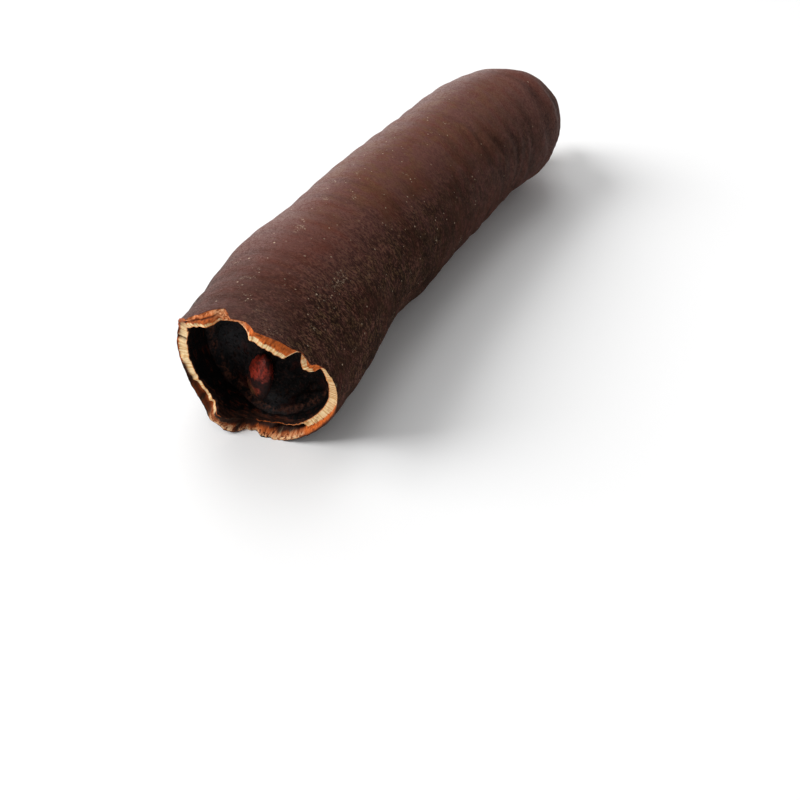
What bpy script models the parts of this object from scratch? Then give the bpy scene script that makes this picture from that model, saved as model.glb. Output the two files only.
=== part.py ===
"""A broken length of ripe golden shower pod, lying on its side.

The pod runs along +Y from its torn mouth to its stalk, and bows gently towards -X. A place on it is
given by its station, the distance back from the foremost point of the torn mouth, its radius from
the pod's own centre line, and its angle round that line, from +X at 0 towards +Z at 90 degrees.
"""

import math
import random

import bmesh
import bpy
from mathutils import Matrix, Vector, noise

# The whole pod
POD_RADIUS = 0.01262
WALL = 0.0017
BEND_RADIUS = 0.288
BEND_STATION = 0.055
THIN_END_SHARE = 0.062
SEAT_DEPTH = 0.00035

# The rounded stalk end
DOME_START = 0.0880
DOME_LENGTH = 0.0150
DOME_POWER = 2.5
NECK_RADIUS = 0.0042
NECK_LIP_RADIUS = 0.0029
NECK_LIP = 0.1064
NECK_BLEND = 4
NECK_BEND_START = 0.0985
NECK_SIDEWAYS = 0.10
NECK_DOWNWARDS = 0.35
SOCKET_RADIUS = 0.00215
SOCKET_FLOOR = 0.1036

# The stalk stub, which sits in the socket of the neck
STALK_RADIUS = 0.00180
STALK_END = 0.1096
STALK_SWELL = 1.12
STALK_RAGGED = 0.0009
STALK_UNEVEN = 0.12
CLEARANCE = 0.0003

# Relief on the bark
RING_PITCH = 0.0056
RING_RISE = 0.00010
SUTURE_ANGLES = (50.0, 230.0)
SUTURE_DEPTH = 0.00022
SUTURE_WIDTH = 7.0
RELIEF_FADE = 0.010
RIDGE_INSIDE = 0.00035
RIDGE_END = 0.0095
RIDGE_FADE = 0.003
LUMP_RISE = 0.00028
LUMP_SIZE = 0.015
# Broad swells and hollows: station, angle in degrees, rise and reach
SWELLS = (
    (0.0050, 140, -0.00030, 0.0060), (0.0225, 138, 0.00065, 0.0055), (0.0350, 136, -0.00025, 0.0060),
    (0.0820, 128, 0.00080, 0.0080), (0.0945, 100, -0.00070, 0.0060), (0.0980, 36, 0.00085, 0.0080),
    (0.0160, 336, 0.00060, 0.0060), (0.0335, 333, -0.00070, 0.0050), (0.0440, 327, 0.00050, 0.0055),
    (0.0790, 323, -0.00075, 0.0070), (0.0890, 321, -0.00045, 0.0060),
)

# Cross walls and seeds
FIRST_SEPTUM = 0.0138
SEPTUM_COUNT = 14
SEPTUM_MIDDLE = 0.0006
SEPTUM_RIM = 0.0012
SEED_LENGTH = 0.0086
SEED_WIDTH = 0.0064
SEED_THICKNESS = 0.0028
SEED_OFFSET = 0.0036
SEED_STRAY = 28

# The pulp left in the open cell
PULP_THICKNESS = 0.0010
PULP_FILLET = 0.0014
PULP_ROUGH = 0.00035
PULP_LUMP_SIZE = 0.0024
# Heaps of pulp: angle in degrees, distance from the centre line, rise and reach
PULP_HEAPS = ((246, 0.0058, 0.0016, 0.0032), (272, 0.0074, 0.0026, 0.0026), (35, 0.0050, 0.0007, 0.0034))

# The seed in the open cell, standing half out of the pulp
OPEN_SEED_ANGLE = 246
OPEN_SEED_OFFSET = 0.0056
OPEN_SEED_TILT = 42

# How finely the solids are faceted: steps round, and where the shell's rows lie
SHELL_STEPS = 72
NECK_ROW = NECK_LIP - 0.0012
DOME_ROWS = (1.0, 0.965, 0.92, 0.85, 0.74, 0.58, 0.38, 0.18)
MOUTH_ROWS = (0.0125, 0.0090, 0.0060, 0.0035, 0.0015, 0.0)
RIM_MIDDLE = 0.45
BORE_ROWS = (0.0, 0.0030, 0.0070, 0.0125, 0.0220, 0.0380, 0.0540, 0.0700, 0.0800, DOME_START)
BORE_DOME_LENGTH = DOME_LENGTH - 2.2 * WALL
BORE_DOME_ROWS = (0.35, 0.62, 0.82, 0.94)
SEPTUM_STEPS = 20
PULP_STEPS = 36
STALK_STEPS = 16
SEED_SEGMENTS = 10
SEED_RINGS = 6
SHARP_ANGLE = 40
MERGE_DISTANCE = 0.00001

# Where the pod's own origin lies, so that the part is centred on its footprint
PLAN_X = -0.00202
PLAN_Y = -0.0551

# The torn mouth: how far each edge of the wall is set back at an angle, in millimetres
MOUTH_ZONE = 0.016
BARK_EDGE_MM = (
    (0, 5.2), (14, 4.5), (24, 4.0), (30, 3.0), (33, 2.1), (42, 2.3), (48, 1.6), (60, 0.9),
    (72, 0.3), (75, 0.9), (80, 1.3), (89, 1.0), (93, 2.0), (97, 2.8), (104, 2.5), (112, 1.6),
    (123, 1.3), (140, 3.8), (158, 5.8), (198, 5.5), (222, 4.4), (233, 3.1), (250, 3.4), (256, 4.9),
    (264, 5.3), (270, 4.3), (282, 4.6), (304, 5.3), (318, 6.2), (328, 6.5), (342, 5.6),
)
WOOD_EDGE_MM = (
    (0, 6.2), (14, 5.6), (22, 5.1), (26, 2.7), (31, 2.3), (36, 2.6), (40, 3.8), (43, 3.1),
    (48, 0.5), (63, 0.1), (74, 0.2), (78, 1.4), (83, 2.2), (90, 2.7), (102, 2.4), (104, 1.4),
    (110, 0.9), (128, 2.0), (145, 4.2), (160, 5.8), (216, 5.6), (227, 5.1), (234, 3.5), (241, 3.3),
    (250, 4.8), (266, 6.4), (281, 6.6), (300, 6.3), (320, 6.9), (339, 6.9),
)

BARK = ("bark", (0.085, 0.052, 0.045), 0.55)
STALK_WOOD = ("stalk_wood", (0.42, 0.24, 0.11), 0.85)
PULP_BLACK = ("pulp_black", (0.012, 0.010, 0.010), 0.30)
SEED_COAT = ("seed_coat", (0.13, 0.045, 0.018), 0.25)


def clear_scene():
    """Removes every object that the file held before."""
    for old in list(bpy.data.objects):
        bpy.data.objects.remove(old)


def new_collection(name):
    """A collection of the scene, for the pod or for its cutters."""
    made = bpy.data.collections.new(name)
    bpy.context.scene.collection.children.link(made)
    return made


def new_material(name, colour, roughness):
    """A plain finish of one colour."""
    made = bpy.data.materials.new(name)
    made.use_nodes = True
    shader = made.node_tree.nodes["Principled BSDF"]
    shader.inputs["Base Color"].default_value = (*colour, 1.0)
    shader.inputs["Roughness"].default_value = roughness
    shader.inputs["Metallic"].default_value = 0.0
    return made


def torn_edge(outline_mm, degrees):
    """How far back a torn edge lies at an angle: straight runs between the outline's points."""
    degrees %= 360
    before = (outline_mm[-1][0] - 360, outline_mm[-1][1])
    after = (outline_mm[0][0] + 360, outline_mm[0][1])
    points = (before, *outline_mm, after)
    for (low, low_mm), (high, high_mm) in zip(points, points[1:]):
        if low <= degrees <= high:
            share = (degrees - low) / (high - low)
            return (low_mm + share * (high_mm - low_mm)) / 1000
    raise ValueError("the outline leaves a gap")


def body_radius(station):
    """The pod's girth without its rounded end: widest near the middle, thinner at the stalk."""
    share = station / DOME_START
    return POD_RADIUS * (1 - THIN_END_SHARE * max(0.0, share - 0.35) ** 1.5)


def outer_radius(station):
    """The bark's radius: the body, closed by the dome, which runs out into the neck."""
    if station <= DOME_START:
        return body_radius(station)
    share = min(1.0, (station - DOME_START) / DOME_LENGTH)
    dome = body_radius(station) * math.sqrt(1 - share**DOME_POWER)
    run = min(1.0, (station - DOME_START) / (NECK_LIP - DOME_START))
    neck = NECK_RADIUS + (NECK_LIP_RADIUS - NECK_RADIUS) * run**2
    return (dome**NECK_BLEND + neck**NECK_BLEND) ** (1 / NECK_BLEND)


def centre_line(station):
    """The pod's centre at a station. It is an arc in plan, and the neck bends off it."""
    along = station - BEND_STATION
    past = max(0.0, station - NECK_BEND_START)
    sideways = along**2 / (2 * BEND_RADIUS) + NECK_SIDEWAYS * past
    height = body_radius(min(station, DOME_START)) - SEAT_DEPTH - NECK_DOWNWARDS * past
    return Vector((PLAN_X + sideways, PLAN_Y + station, height))


def lean(station):
    """The angle, in plan, between the centre line and +Y."""
    return (station - BEND_STATION) / BEND_RADIUS


def on_pod(radius, angle, station):
    """The point of the part at a radius, angle and station, no lower than what it lies on."""
    turn = lean(station)
    sideways = radius * math.cos(angle)
    point = centre_line(station) + Vector(
        (sideways * math.cos(turn), -sideways * math.sin(turn), radius * math.sin(angle))
    )
    point.z = max(point.z, 0.0)
    return point


def bell(distance, reach):
    """1 at no distance, falling smoothly away over the reach."""
    return math.exp(-(distance**2) / (2 * reach**2))


def degrees_apart(first, second):
    """The angle between two directions round the pod."""
    return (first - second + 180) % 360 - 180


def suture_share(degrees):
    """1 on either of the pod's two sutures, and 0 away from them."""
    return sum(bell(degrees_apart(degrees, suture), SUTURE_WIDTH) for suture in SUTURE_ANGLES)


def swell(degrees, station):
    """The pod's broad swells and hollows at a place."""
    total = 0.0
    for at_station, at_degrees, rise, reach in SWELLS:
        round_way = math.radians(degrees_apart(degrees, at_degrees)) * POD_RADIUS
        total += rise * bell(math.hypot(station - at_station, round_way), reach)
    return total


def bark_relief(angle, station):
    """How far the bark stands off its plain radius: a ring at each cross wall, sutures, lumps."""
    degrees = math.degrees(angle)
    fade = min(1.0, max(0.0, (NECK_LIP - station) / RELIEF_FADE))
    rings = RING_RISE * math.cos(math.tau * (station - FIRST_SEPTUM) / RING_PITCH)
    at = Vector((math.cos(angle) * POD_RADIUS, station, math.sin(angle) * POD_RADIUS))
    lumps = LUMP_RISE * noise.noise(at / LUMP_SIZE)
    return fade * (rings - SUTURE_DEPTH * suture_share(degrees) + lumps + swell(degrees, station))


def bore_relief(angle, station):
    """How far the bore stands in from its plain radius: a ridge under each suture of the open cell."""
    fade = min(1.0, max(0.0, (RIDGE_END - station) / RIDGE_FADE))
    return fade * RIDGE_INSIDE * suture_share(math.degrees(angle))


def shell_profile():
    """Half the shell's section: socket, lip, neck, dome and bark, the torn rim, then the inside."""
    half_ring = RING_PITCH / 2
    ring_rows = int((DOME_START - MOUTH_ZONE) / half_ring)
    points = [(0.0, SOCKET_FLOOR), (SOCKET_RADIUS, SOCKET_FLOOR), (SOCKET_RADIUS, NECK_LIP)]
    outside = [NECK_LIP, NECK_ROW]
    outside += [DOME_START + share * DOME_LENGTH for share in DOME_ROWS]
    outside += [FIRST_SEPTUM + row * half_ring for row in range(ring_rows + 1, 0, -1)]
    outside += MOUTH_ROWS
    points += [(outer_radius(station), station) for station in outside]
    points.append((outer_radius(0) - RIM_MIDDLE * WALL, 0.0))
    points += [(outer_radius(station) - WALL, station) for station in BORE_ROWS]
    for share in BORE_DOME_ROWS:
        shrunk = (body_radius(DOME_START) - WALL) * math.sqrt(1 - share**DOME_POWER)
        points.append((shrunk, DOME_START + share * BORE_DOME_LENGTH))
    points.append((0.0, DOME_START + BORE_DOME_LENGTH))
    return points


def turned(name, profile, steps, home):
    """A solid turned from half its section: (radius, height) points round the Z axis."""
    mesh = bpy.data.meshes.new(name)
    edges = [(n, n + 1) for n in range(len(profile) - 1)]
    mesh.from_pydata([(radius, 0, height) for radius, height in profile], edges, [])
    made = bpy.data.objects.new(name, mesh)
    home.objects.link(made)
    screw = made.modifiers.new("turn", "SCREW")
    screw.steps = screw.render_steps = steps
    screw.use_merge_vertices = True
    screw.merge_threshold = MERGE_DISTANCE
    bpy.context.view_layer.update()
    evaluated = made.evaluated_get(bpy.context.evaluated_depsgraph_get())
    made.data = bpy.data.meshes.new_from_object(evaluated)
    made.data.name = name
    made.modifiers.clear()
    return made


def face_outwards(mesh):
    """Points every face of a closed mesh outwards."""
    work = bmesh.new()
    work.from_mesh(mesh)
    bmesh.ops.recalc_face_normals(work, faces=work.faces)
    work.to_mesh(mesh)
    work.free()


def finish(made, material):
    """Shades a piece and gives it its material."""
    face_outwards(made.data)
    made.data.shade_smooth()
    made.data.set_sharp_from_angle(angle=math.radians(SHARP_ANGLE))
    made.data.materials.clear()
    made.data.materials.append(material)
    return made


def make_shell(home, material):
    """The woody shell: a turned shape, bent along the centre line, its mouth torn and bark raised."""
    made = turned("pod_shell", shell_profile(), SHELL_STEPS, home)
    for vertex in made.data.vertices:
        radius = math.hypot(vertex.co.x, vertex.co.y)
        angle = math.atan2(-vertex.co.y, vertex.co.x)
        station = vertex.co.z
        depth = min(1.0, max(0.0, (outer_radius(station) - radius) / WALL))
        degrees = math.degrees(angle)
        bark = torn_edge(BARK_EDGE_MM, degrees)
        wood = torn_edge(WOOD_EDGE_MM, degrees)
        setback = bark + (wood - bark) * depth
        if station < MOUTH_ZONE:
            station = setback + station * (MOUTH_ZONE - setback) / MOUTH_ZONE
        if depth < 0.01:
            radius += bark_relief(angle, station)
        elif depth > 0.99 and radius > SOCKET_RADIUS:
            radius -= bore_relief(angle, station)
        vertex.co = on_pod(radius, angle, station)
    return finish(made, material)


def make_stalk(home, material):
    """The stub of the stalk, standing in the neck's socket and snapped off unevenly."""
    root = SOCKET_FLOOR + CLEARANCE
    free = STALK_END - NECK_LIP
    sizes = (
        (0.0, STALK_END - 0.2 * free), (0.45, STALK_END - 0.1 * free), (0.90, STALK_END),
        (1.02, NECK_LIP + 0.65 * free), (STALK_SWELL, NECK_LIP + 0.3 * free), (0.98, NECK_LIP),
        (1.0, root + CLEARANCE), (0.86, root), (0.0, root),
    )
    profile = [(STALK_RADIUS * share, station) for share, station in sizes]
    made = turned("stalk", profile, STALK_STEPS, home)
    for vertex in made.data.vertices:
        angle = math.atan2(-vertex.co.y, vertex.co.x)
        radius = math.hypot(vertex.co.x, vertex.co.y)
        station = vertex.co.z
        if station > NECK_LIP:
            side = Vector((math.cos(angle), math.sin(angle), 0.0)) * 2
            station += STALK_RAGGED * noise.noise(side) * (station - NECK_LIP) / free
            radius *= 1 + STALK_UNEVEN * noise.noise(side + Vector((0.0, 0.0, 8.0)))
        vertex.co = on_pod(radius, angle, station)
    return finish(made, material)


def septum_profile(radius):
    """Half a cross wall's section: thin in the middle, thicker where it meets the shell."""
    middle, rim = SEPTUM_MIDDLE / 2, SEPTUM_RIM / 2
    return [
        (0.0, middle), (radius * 0.72, middle), (radius, rim),
        (radius, -rim), (radius * 0.72, -middle), (0.0, -middle),
    ]


def make_septum(number, home, material):
    """One cross wall, square to the centre line and just clear of the shell."""
    station = FIRST_SEPTUM + (number - 1) * RING_PITCH
    radius = outer_radius(station + SEPTUM_RIM / 2) - WALL - CLEARANCE
    made = turned(f"septum_{number:02d}", septum_profile(radius), SEPTUM_STEPS, home)
    made.location = centre_line(station)
    made.rotation_euler = (math.radians(-90), 0, -lean(station))
    return finish(made, material)


def seed_place(station, degrees, offset, tilt=0.0):
    """Where a seed lies: its length runs out from the centre line, and its flat sides face along it."""
    angle = math.radians(degrees)
    out = Vector((math.cos(angle), 0, math.sin(angle)))
    turn = Matrix.Rotation(-lean(station), 4, "Z")
    place = Matrix.Translation(centre_line(station) + turn @ (out * offset))
    roll = Matrix.Rotation(math.radians(tilt), 4, "X")
    return place @ turn @ Matrix.Rotation(-angle, 4, "Y") @ roll


def seed_body(name, grow, home):
    """A flat oval seed, narrower at the end by its thread, with its length along X."""
    mesh = bpy.data.meshes.new(name)
    work = bmesh.new()
    bmesh.ops.create_uvsphere(work, u_segments=SEED_SEGMENTS, v_segments=SEED_RINGS, radius=1.0)
    bmesh.ops.rotate(work, verts=work.verts, matrix=Matrix.Rotation(math.radians(90), 3, "X"))
    for vertex in work.verts:
        narrow = 1 - 0.16 * vertex.co.x
        vertex.co.x *= SEED_LENGTH / 2 + grow
        vertex.co.y *= SEED_THICKNESS / 2 + grow
        vertex.co.z *= (SEED_WIDTH / 2 + grow) * narrow
    work.to_mesh(mesh)
    work.free()
    made = bpy.data.objects.new(name, mesh)
    home.objects.link(made)
    return made


def open_seed_place():
    """Where the open cell's seed stands, on its edge and leaning against the first cross wall."""
    tilt = math.radians(OPEN_SEED_TILT)
    half = math.hypot(SEED_WIDTH / 2 * math.sin(tilt), SEED_THICKNESS / 2 * math.cos(tilt))
    station = FIRST_SEPTUM - SEPTUM_RIM / 2 - 3 * CLEARANCE - half
    return seed_place(station, OPEN_SEED_ANGLE, OPEN_SEED_OFFSET, OPEN_SEED_TILT)


def make_open_seed(home, material):
    """The seed that shows in the mouth."""
    made = seed_body("seed_01", 0.0, home)
    made.matrix_world = open_seed_place()
    return finish(made, material)


def make_closed_seed(number, home, material):
    """A seed in a closed cell, lying flat behind its cross wall."""
    wall = FIRST_SEPTUM + (number - 2) * RING_PITCH
    station = wall + SEPTUM_MIDDLE / 2 + CLEARANCE + SEED_THICKNESS / 2
    made = seed_body(f"seed_{number:02d}", 0.0, home)
    degrees = SUTURE_ANGLES[1] + random.uniform(-SEED_STRAY, SEED_STRAY)
    made.matrix_world = seed_place(station, degrees, SEED_OFFSET)
    return finish(made, material)


def pulp_rise(across, radius):
    """How far the pulp stands up at a point of the cross wall: heaps, a fillet at the wall, lumps."""
    total = PULP_ROUGH * noise.noise(Vector((across.x, across.y, 0.0)) / PULP_LUMP_SIZE)
    for degrees, offset, rise, reach in PULP_HEAPS:
        angle = math.radians(degrees)
        top = Vector((math.cos(angle), math.sin(angle))) * offset
        total += rise * bell((across - top).length, reach)
    low_side = 0.5 - 0.5 * across.y / radius
    return total + PULP_FILLET * low_side * (across.length / radius) ** 6


def make_pulp(home, cutters, material):
    """The pulp on the first cross wall, and the hollow that the seed has pressed in it."""
    back = FIRST_SEPTUM - SEPTUM_RIM / 2 - CLEARANCE
    front = back - PULP_THICKNESS
    radius = outer_radius(back) - WALL - CLEARANCE
    profile = [(radius * share, back) for share in (0.0, 0.5, 1.0)]
    profile += [(radius * share, front) for share in (1.0, 0.92, 0.8, 0.66, 0.52, 0.38, 0.24, 0.1, 0.0)]
    made = turned("pulp", profile, PULP_STEPS, home)
    for vertex in made.data.vertices:
        across = Vector((vertex.co.x, -vertex.co.y))
        station = vertex.co.z
        if station < back - PULP_THICKNESS / 2:
            station -= pulp_rise(across, radius)
        vertex.co = on_pod(across.length, math.atan2(across.y, across.x), station)
    finish(made, material)
    hollow = seed_body("seed_hollow", CLEARANCE, cutters)
    hollow.matrix_world = open_seed_place()
    hollow.hide_render = True
    hollow.display_type = "WIRE"
    face_outwards(hollow.data)
    cut = made.modifiers.new("seed hollow", "BOOLEAN")
    cut.object = hollow
    return made


def build():
    """Makes the pod's pieces."""
    clear_scene()
    random.seed(7)
    home = new_collection("golden_shower_pod")
    cutters = new_collection("cutters")
    bark, stalk_wood, pulp_black, seed_coat = (
        new_material(*finish_of) for finish_of in (BARK, STALK_WOOD, PULP_BLACK, SEED_COAT)
    )
    make_shell(home, bark)
    make_stalk(home, stalk_wood)
    make_pulp(home, cutters, pulp_black)
    make_open_seed(home, seed_coat)
    for number in range(1, SEPTUM_COUNT + 1):
        make_septum(number, home, pulp_black)
    for number in range(2, SEPTUM_COUNT + 1):
        make_closed_seed(number, home, seed_coat)


build()
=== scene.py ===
"""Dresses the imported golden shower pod: finer pieces over its nodes, their finishes, and the stage.

A place on the pod is given by its station, the distance back from the foremost point of the torn
mouth, its radius from the pod's own centre line, and its angle round that line, from +X at 0
towards +Z at 90 degrees. Sizes are in metres, apart from the names that end in _MM.
"""

import math

import bmesh
import bpy
import numpy as np
from bpy.props import FloatProperty, FloatVectorProperty, IntProperty, PointerProperty
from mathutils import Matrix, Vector, noise


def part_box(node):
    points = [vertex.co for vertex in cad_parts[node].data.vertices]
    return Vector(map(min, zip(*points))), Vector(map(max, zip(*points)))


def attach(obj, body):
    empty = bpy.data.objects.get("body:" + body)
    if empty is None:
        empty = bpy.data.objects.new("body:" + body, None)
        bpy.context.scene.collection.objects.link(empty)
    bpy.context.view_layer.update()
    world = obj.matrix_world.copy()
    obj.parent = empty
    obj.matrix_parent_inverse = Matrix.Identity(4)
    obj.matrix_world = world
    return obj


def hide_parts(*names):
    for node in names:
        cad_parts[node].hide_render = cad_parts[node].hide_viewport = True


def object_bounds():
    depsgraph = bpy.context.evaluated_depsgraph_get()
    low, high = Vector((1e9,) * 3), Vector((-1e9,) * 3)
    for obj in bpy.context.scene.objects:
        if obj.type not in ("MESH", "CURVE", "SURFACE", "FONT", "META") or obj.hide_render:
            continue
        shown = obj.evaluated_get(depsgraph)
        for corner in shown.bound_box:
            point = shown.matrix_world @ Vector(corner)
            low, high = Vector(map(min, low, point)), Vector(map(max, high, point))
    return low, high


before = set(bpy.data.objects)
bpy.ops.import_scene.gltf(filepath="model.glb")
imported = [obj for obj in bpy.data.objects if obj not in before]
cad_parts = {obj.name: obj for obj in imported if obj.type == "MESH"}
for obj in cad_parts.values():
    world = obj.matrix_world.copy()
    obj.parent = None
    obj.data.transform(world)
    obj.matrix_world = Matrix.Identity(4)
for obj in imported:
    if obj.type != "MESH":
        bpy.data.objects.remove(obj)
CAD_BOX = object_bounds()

bl_info = {
    "name": "Golden shower pod",
    "version": (1, 0, 0),
    "blender": (4, 5, 0),
    "location": "3D view > Sidebar > Pod",
    "description": "Builds the finely finished pieces of a broken golden shower pod",
    "category": "Object",
}

BODY = "root"
MM = 0.001

# The pod's form, as its solids have it
POD_RADIUS = 0.01262
WALL = 0.0017
BEND_RADIUS = 0.288
BEND_STATION = 0.055
THIN_END_SHARE = 0.062
THIN_END_START = 0.35
DOME_START = 0.0880
DOME_LENGTH = 0.0150
DOME_POWER = 2.5
NECK_RADIUS = 0.0042
NECK_LIP_RADIUS = 0.0029
NECK_LIP = 0.1064
NECK_BLEND = 4
NECK_BEND_START = 0.0985
NECK_SIDEWAYS = 0.10
NECK_DOWNWARDS = 0.35
SOCKET_RADIUS = 0.00215
SOCKET_FLOOR = 0.1036
STALK_RADIUS = 0.00180
STALK_END = 0.1096
CLEARANCE = 0.0003
RING_PITCH = 0.0056
RING_RISE = 0.00010
SUTURE_ANGLES = (50.0, 230.0)
SUTURE_DEPTH = 0.00022
SUTURE_WIDTH = 7.0
RELIEF_FADE = 0.010
# The ridges inside the bore, under the sutures
RIDGE_INSIDE = 0.00035
RIDGE_END = 0.0095
RIDGE_FADE = 0.003
LUMP_RISE = 0.00028
LUMP_SIZE = 0.015
# Each swell's station, angle, rise and reach
SWELLS = (
    (0.0050, 140, -0.00030, 0.0060), (0.0225, 138, 0.00065, 0.0055), (0.0350, 136, -0.00025, 0.0060),
    (0.0820, 128, 0.00080, 0.0080), (0.0945, 100, -0.00070, 0.0060), (0.0980, 36, 0.00085, 0.0080),
    (0.0160, 336, 0.00060, 0.0060), (0.0335, 333, -0.00070, 0.0050), (0.0440, 327, 0.00050, 0.0055),
    (0.0790, 323, -0.00075, 0.0070), (0.0890, 321, -0.00045, 0.0060),
)
FIRST_SEPTUM = 0.0138
SEPTUM_MIDDLE = 0.0006
SEPTUM_RIM = 0.0012
SEPTUM_SPOKES = 0.00010
SEPTUM_LUMPS = 0.00012
INNER_DOME_LENGTH = DOME_LENGTH - 2.2 * WALL

# The fine surface of the bark: the angles that its folds, rings, wear, painted shade and painted sheen
# face, in degrees
FOLD_PITCH = 0.0044
FOLD_SIDE = 5
RING_SIDE = -20
ROUGH_SIDE = 15
SHADED_WEATHERED_SIDE = -8
RUBBED_SIDE = 86
RUBBED_SPREAD = 25
MOUTH_SHEEN_SIDE = 70
MOUTH_SHEEN_SPREAD = 13
LIP_ZONE = 0.0026
LIP_FADE = 0.002
FILM_THICKNESS = 0.00010

# The pulp: a heap has an angle, a distance from the middle, a height and a spread, and a patch of
# painted highlight has the same without a height
PULP_THICKNESS = 0.0010
PULP_FILLET = 0.0014
PULP_ROUGH = 0.00035
PULP_LUMP_SIZE = 0.0024
PULP_GRAIN = 0.00016
PULP_CREASE = 0.00022
PULP_RIM = 0.0009
PULP_HEAPS = (
    (246, 0.0058, 0.0016, 0.0032), (272, 0.0074, 0.0026, 0.0026), (35, 0.0050, 0.0007, 0.0034),
)
PULP_HIGHLIGHTS = ((188, 0.0070, 0.0026), (272, 0.0088, 0.0016), (20, 0.0070, 0.0018))

# How fine the meshes are: lengths of step along a section, and counts of rows and columns
LINE_POINTS = 400
SOCKET_STEP = 0.0004
NECK_STEP = 0.00045
BARK_STEP = 0.0005
MOUTH_STEP = 0.00027
OPEN_BORE_STEP = 0.00034
OPEN_BORE_END = 0.0145
CLOSED_BORE_STEP = 0.0035
RIM_STEPS = 22
PULP_STEPS = 64
PULP_COLUMNS = 216
SEPTUM_STEPS = 13
SEPTUM_COLUMNS = 72
SEED_ROWS = 25
SEED_COLUMNS = 48
STALK_STEP = 0.00012
STALK_COLUMNS = 120
BARK, TORN, BORE = 0, 1, 2
LAMP_SIZE = 0.8

# The torn mouth: how far each edge of the wall is set back at an angle, as the solids have it
MOUTH_ZONE = 0.016
BARK_EDGE_MM = (
    (0, 5.2), (14, 4.5), (24, 4.0), (30, 3.0), (33, 2.1), (42, 2.3), (48, 1.6), (60, 0.9),
    (72, 0.3), (75, 0.9), (80, 1.3), (89, 1.0), (93, 2.0), (97, 2.8), (104, 2.5), (112, 1.6),
    (123, 1.3), (140, 3.8), (158, 5.8), (198, 5.5), (222, 4.4), (233, 3.1), (250, 3.4), (256, 4.9),
    (264, 5.3), (270, 4.3), (282, 4.6), (304, 5.3), (318, 6.2), (328, 6.5), (342, 5.6),
)
WOOD_EDGE_MM = (
    (0, 6.2), (14, 5.6), (22, 5.1), (26, 2.7), (31, 2.3), (36, 2.6), (40, 3.8), (43, 3.1),
    (48, 0.5), (63, 0.1), (74, 0.2), (78, 1.4), (83, 2.2), (90, 2.7), (102, 2.4), (104, 1.4),
    (110, 0.9), (128, 2.0), (145, 4.2), (160, 5.8), (216, 5.6), (227, 5.1), (234, 3.5), (241, 3.3),
    (250, 4.8), (266, 6.4), (281, 6.6), (300, 6.3), (320, 6.9), (339, 6.9),
)
# The share of the torn wall, from the bark inwards, that is orange fibre and not pale wood
FIBRE_SHARE = (
    (0, 0.16), (18, 0.15), (25, 0.50), (32, 0.42), (48, 0.50), (74, 0.46), (78, 0.85), (97, 0.95),
    (106, 0.72), (125, 0.66), (134, 0.34), (160, 0.30), (166, 0.20), (186, 0.17), (204, 0.22),
    (212, 0.46), (228, 0.50), (240, 0.40), (262, 0.90), (296, 0.86), (306, 0.42), (322, 0.36), (338, 0.18),
)
# Bands of the torn wall: from and to an angle, the share of the thickness they lie at, their spread
# and how strong they are
# The dark bands are the fibre's dark brown, and where they lie over the grooves, painted shade in them as
# well
DARK_BANDS = (
    (102, 130, 0.42, 0.05, 0.9), (104, 122, 0.62, 0.07, 0.5), (128, 148, 0.34, 0.28, 0.64),
    (146, 166, 0.17, 0.20, 0.62), (190, 231, 0.20, 0.18, 0.85), (232, 262, 0.80, 0.34, 1.3),
    (262, 284, 0.84, 0.26, 1.1), (278, 303, 0.60, 0.15, 1.3), (284, 303, 0.78, 0.16, 0.9),
    (46, 72, 0.22, 0.05, 0.4), (46, 72, 0.08, 0.04, 0.3), (300, 360, 0.04, 0.06, 0.5),
    (164, 206, 0.02, 0.07, 0.66),
)
PALE_BANDS = (
    (228, 262, 0.16, 0.12, 0.8), (262, 302, 0.14, 0.12, 0.7), (286, 311, 0.97, 0.05, 0.9),
    (80, 97, 0.50, 0.40, 0.32), (97, 103, 0.30, 0.40, 0.6), (103, 124, 0.16, 0.10, 0.25),
)
# How far each groove of the torn wall runs in, over a band
GROOVES = (
    (278, 303, 0.58, 0.11, 0.0013), (238, 262, 0.80, 0.24, 0.0006), (104, 128, 0.42, 0.05, 0.00022),
    (206, 230, 0.30, 0.16, 0.00035),
)
# Cracks that run right across the wall: their angle, and how strong they are
# A crack cuts into the wall and darkens it: its dark is painted shade
CRACKS = ((167.0, 1.0), (77.0, 0.5), (251.5, 0.9), (203.5, 0.25), (218.5, 0.3))
CRACK_WIDTH = 0.9
CRACK_DEPTH = 0.0004
# How far the bore is bare wood behind the torn wall at an angle
BARE_MM = ((0, 0.25), (205, 0.25), (222, 0.6), (234, 1.6), (262, 1.5), (300, 1.0), (316, 0.4))
# How frayed the torn wall is at an angle, from 0 to 1
FRAY = (
    (0, 0.12), (24, 0.3), (48, 0.2), (80, 0.4), (125, 0.3), (150, 0.1), (215, 0.1), (236, 0.4),
    (250, 0.9), (288, 1.0), (303, 0.5), (322, 0.12),
)


def centre_of(node):
    """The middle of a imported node's box."""
    low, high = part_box(node)
    return (low + high) / 2


# The first cross wall stands square on the centre line, so its middle is a point of that line
ANCHOR = centre_of("septum_01")
PLAN_X = ANCHOR.x - (FIRST_SEPTUM - BEND_STATION) ** 2 / (2 * BEND_RADIUS)
PLAN_Y = ANCHOR.y - FIRST_SEPTUM
SEAT_DEPTH = POD_RADIUS - ANCHOR.z


def srgb(red, green, blue):
    """A colour as it looks on a screen, from 0 to 255, turned into the linear values of a shader."""
    shares = (channel / 255 for channel in (red, green, blue))
    return tuple(
        share / 12.92 if share < 0.04045 else ((share + 0.055) / 1.055) ** 2.4 for share in shares
    )


def colour(name, description, *on_screen):
    """A colour that the sidebar shows, from its values on a screen."""
    return FloatVectorProperty(
        name=name, description=description, default=srgb(*on_screen), size=3, min=0.0, max=1.0,
        subtype="COLOR",
    )


def length(name, description, default):
    """A length that the sidebar shows."""
    return FloatProperty(name=name, description=description, default=default, min=0.0, unit="LENGTH")


def power(name, description, default):
    """A light's power that the sidebar shows."""
    return FloatProperty(name=name, description=description, default=default, unit="POWER")


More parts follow.
